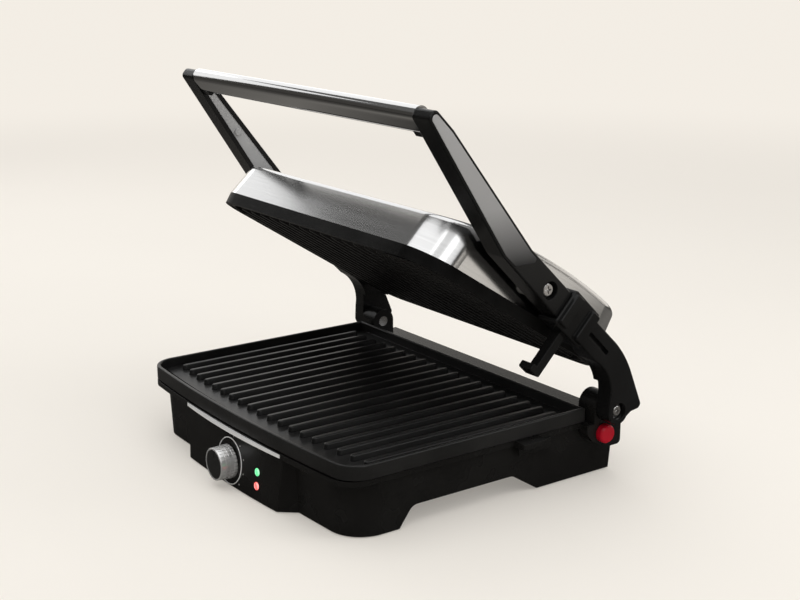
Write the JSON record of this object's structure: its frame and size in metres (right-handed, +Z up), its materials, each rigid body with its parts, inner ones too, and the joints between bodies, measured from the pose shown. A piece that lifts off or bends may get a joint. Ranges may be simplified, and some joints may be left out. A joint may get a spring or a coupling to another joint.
{
  "type": "electric contact grill",
  "caption": "Electric contact grill with ribbed plates, a floating steel lid between bent arms, a bar handle, a knob and a lid lock.",
  "frame": {"origin": "on the table under the middle of the grill's overall box, lid half raised as in the picture", "axes": "+Z up from the table, -Y out of the front with the knob, +X towards the arm that carries the lock slider"},
  "size_m": [0.3741, 0.3043, 0.3224],
  "materials": {
    "black_plastic": "satin",
    "dark_plastic": "matte",
    "arm_plastic": "satin",
    "inner_plastic": "matte",
    "rubber": "matte",
    "screw_steel": "satin",
    "element_steel": "satin",
    "trim_chrome": "polished",
    "handle_chrome": "satin",
    "brushed_lid": "brushed",
    "reflector_aluminium": "satin",
    "nonstick_iron": "satin",
    "inlay_grey": "satin",
    "lens_green": "gloss",
    "lens_red": "gloss",
    "button_red": "gloss",
    "knob_metal": "satin",
    "knob_black": "gloss"
  },
  "bodies": {
    "base": {"lower_housing": "black_plastic", "bottom_cover": "dark_plastic", "rubber_feet": "rubber", "bottom_screws": "screw_steel", "trim_strip": "trim_chrome", "thermostat": "inner_plastic", "led_green": "lens_green", "led_red": "lens_red", "lamp_board": "inner_plastic", "lower_reflector": "reflector_aluminium", "lower_element": "element_steel", "terminal_block": "inner_plastic", "lower_thermal_fuse": "element_steel", "lower_grill_plate": "nonstick_iron", "lower_plate_ribs": "nonstick_iron", "lower_plate_screws": "screw_steel", "lock_catch": "black_plastic", "hinge_pins": "screw_steel", "hinge_washers": "screw_steel", "hinge_screws": "screw_steel", "release_spring": "element_steel", "cord_gland": "rubber"},
    "arms": {"right_arm": "arm_plastic", "left_arm": "arm_plastic", "arm_inlays": "inlay_grey", "arm_inner_covers": "inlay_grey", "lid_pivot_bushes": "screw_steel", "handle_bar": "handle_chrome", "handle_inserts": "inner_plastic", "handle_end_brackets": "arm_plastic"},
    "slider": {"lock_slider": "arm_plastic"},
    "lid": {"lid_cover": "brushed_lid", "lid_bezel": "black_plastic", "upper_grill_plate": "nonstick_iron", "upper_plate_ribs": "nonstick_iron", "upper_reflector": "reflector_aluminium", "upper_element": "element_steel", "upper_plate_screws": "screw_steel", "upper_thermal_fuse": "element_steel", "lid_pivot_brackets": "screw_steel", "lid_pivot_screws": "screw_steel"},
    "button": {"release_button": "button_red"},
    "knob": {"knob": "knob_metal", "knob_cap": "knob_black", "thermostat_shaft": "screw_steel"}
  },
  "joints": [
    {"name": "arm_hinge", "type": "hinge", "parent": "base", "child": "arms", "pos_m": [0, 0.124, 0.0625], "axis": [-1, 0, 0], "range_deg": [-42.26, 65]},
    {"name": "lid_tilt", "type": "hinge", "parent": "arms", "child": "lid", "pos_m": [0, 0.0455, 0.176], "axis": [-1, 0, 0], "range_deg": [-15.5, 10.1]},
    {"name": "lock_slide", "type": "slide", "parent": "arms", "child": "slider", "axis": [0, 0.7157, -0.6984], "range_m": [0, 0.026]},
    {"name": "knob_turn", "type": "hinge", "parent": "base", "child": "knob", "pos_m": [0, -0.14, 0.021], "axis": [0, 1, 0], "range_deg": [0, 270]},
    {"name": "release_press", "type": "slide", "parent": "base", "child": "button", "axis": [-1, 0, 0], "range_m": [0, 0.006], "stiffness_N_per_m": 300, "deforming": ["release_spring"]}
  ],
  "couplings": [
    {"joint": "lid_tilt", "follows": "arm_hinge", "ratio": -0.23757}
  ]
}
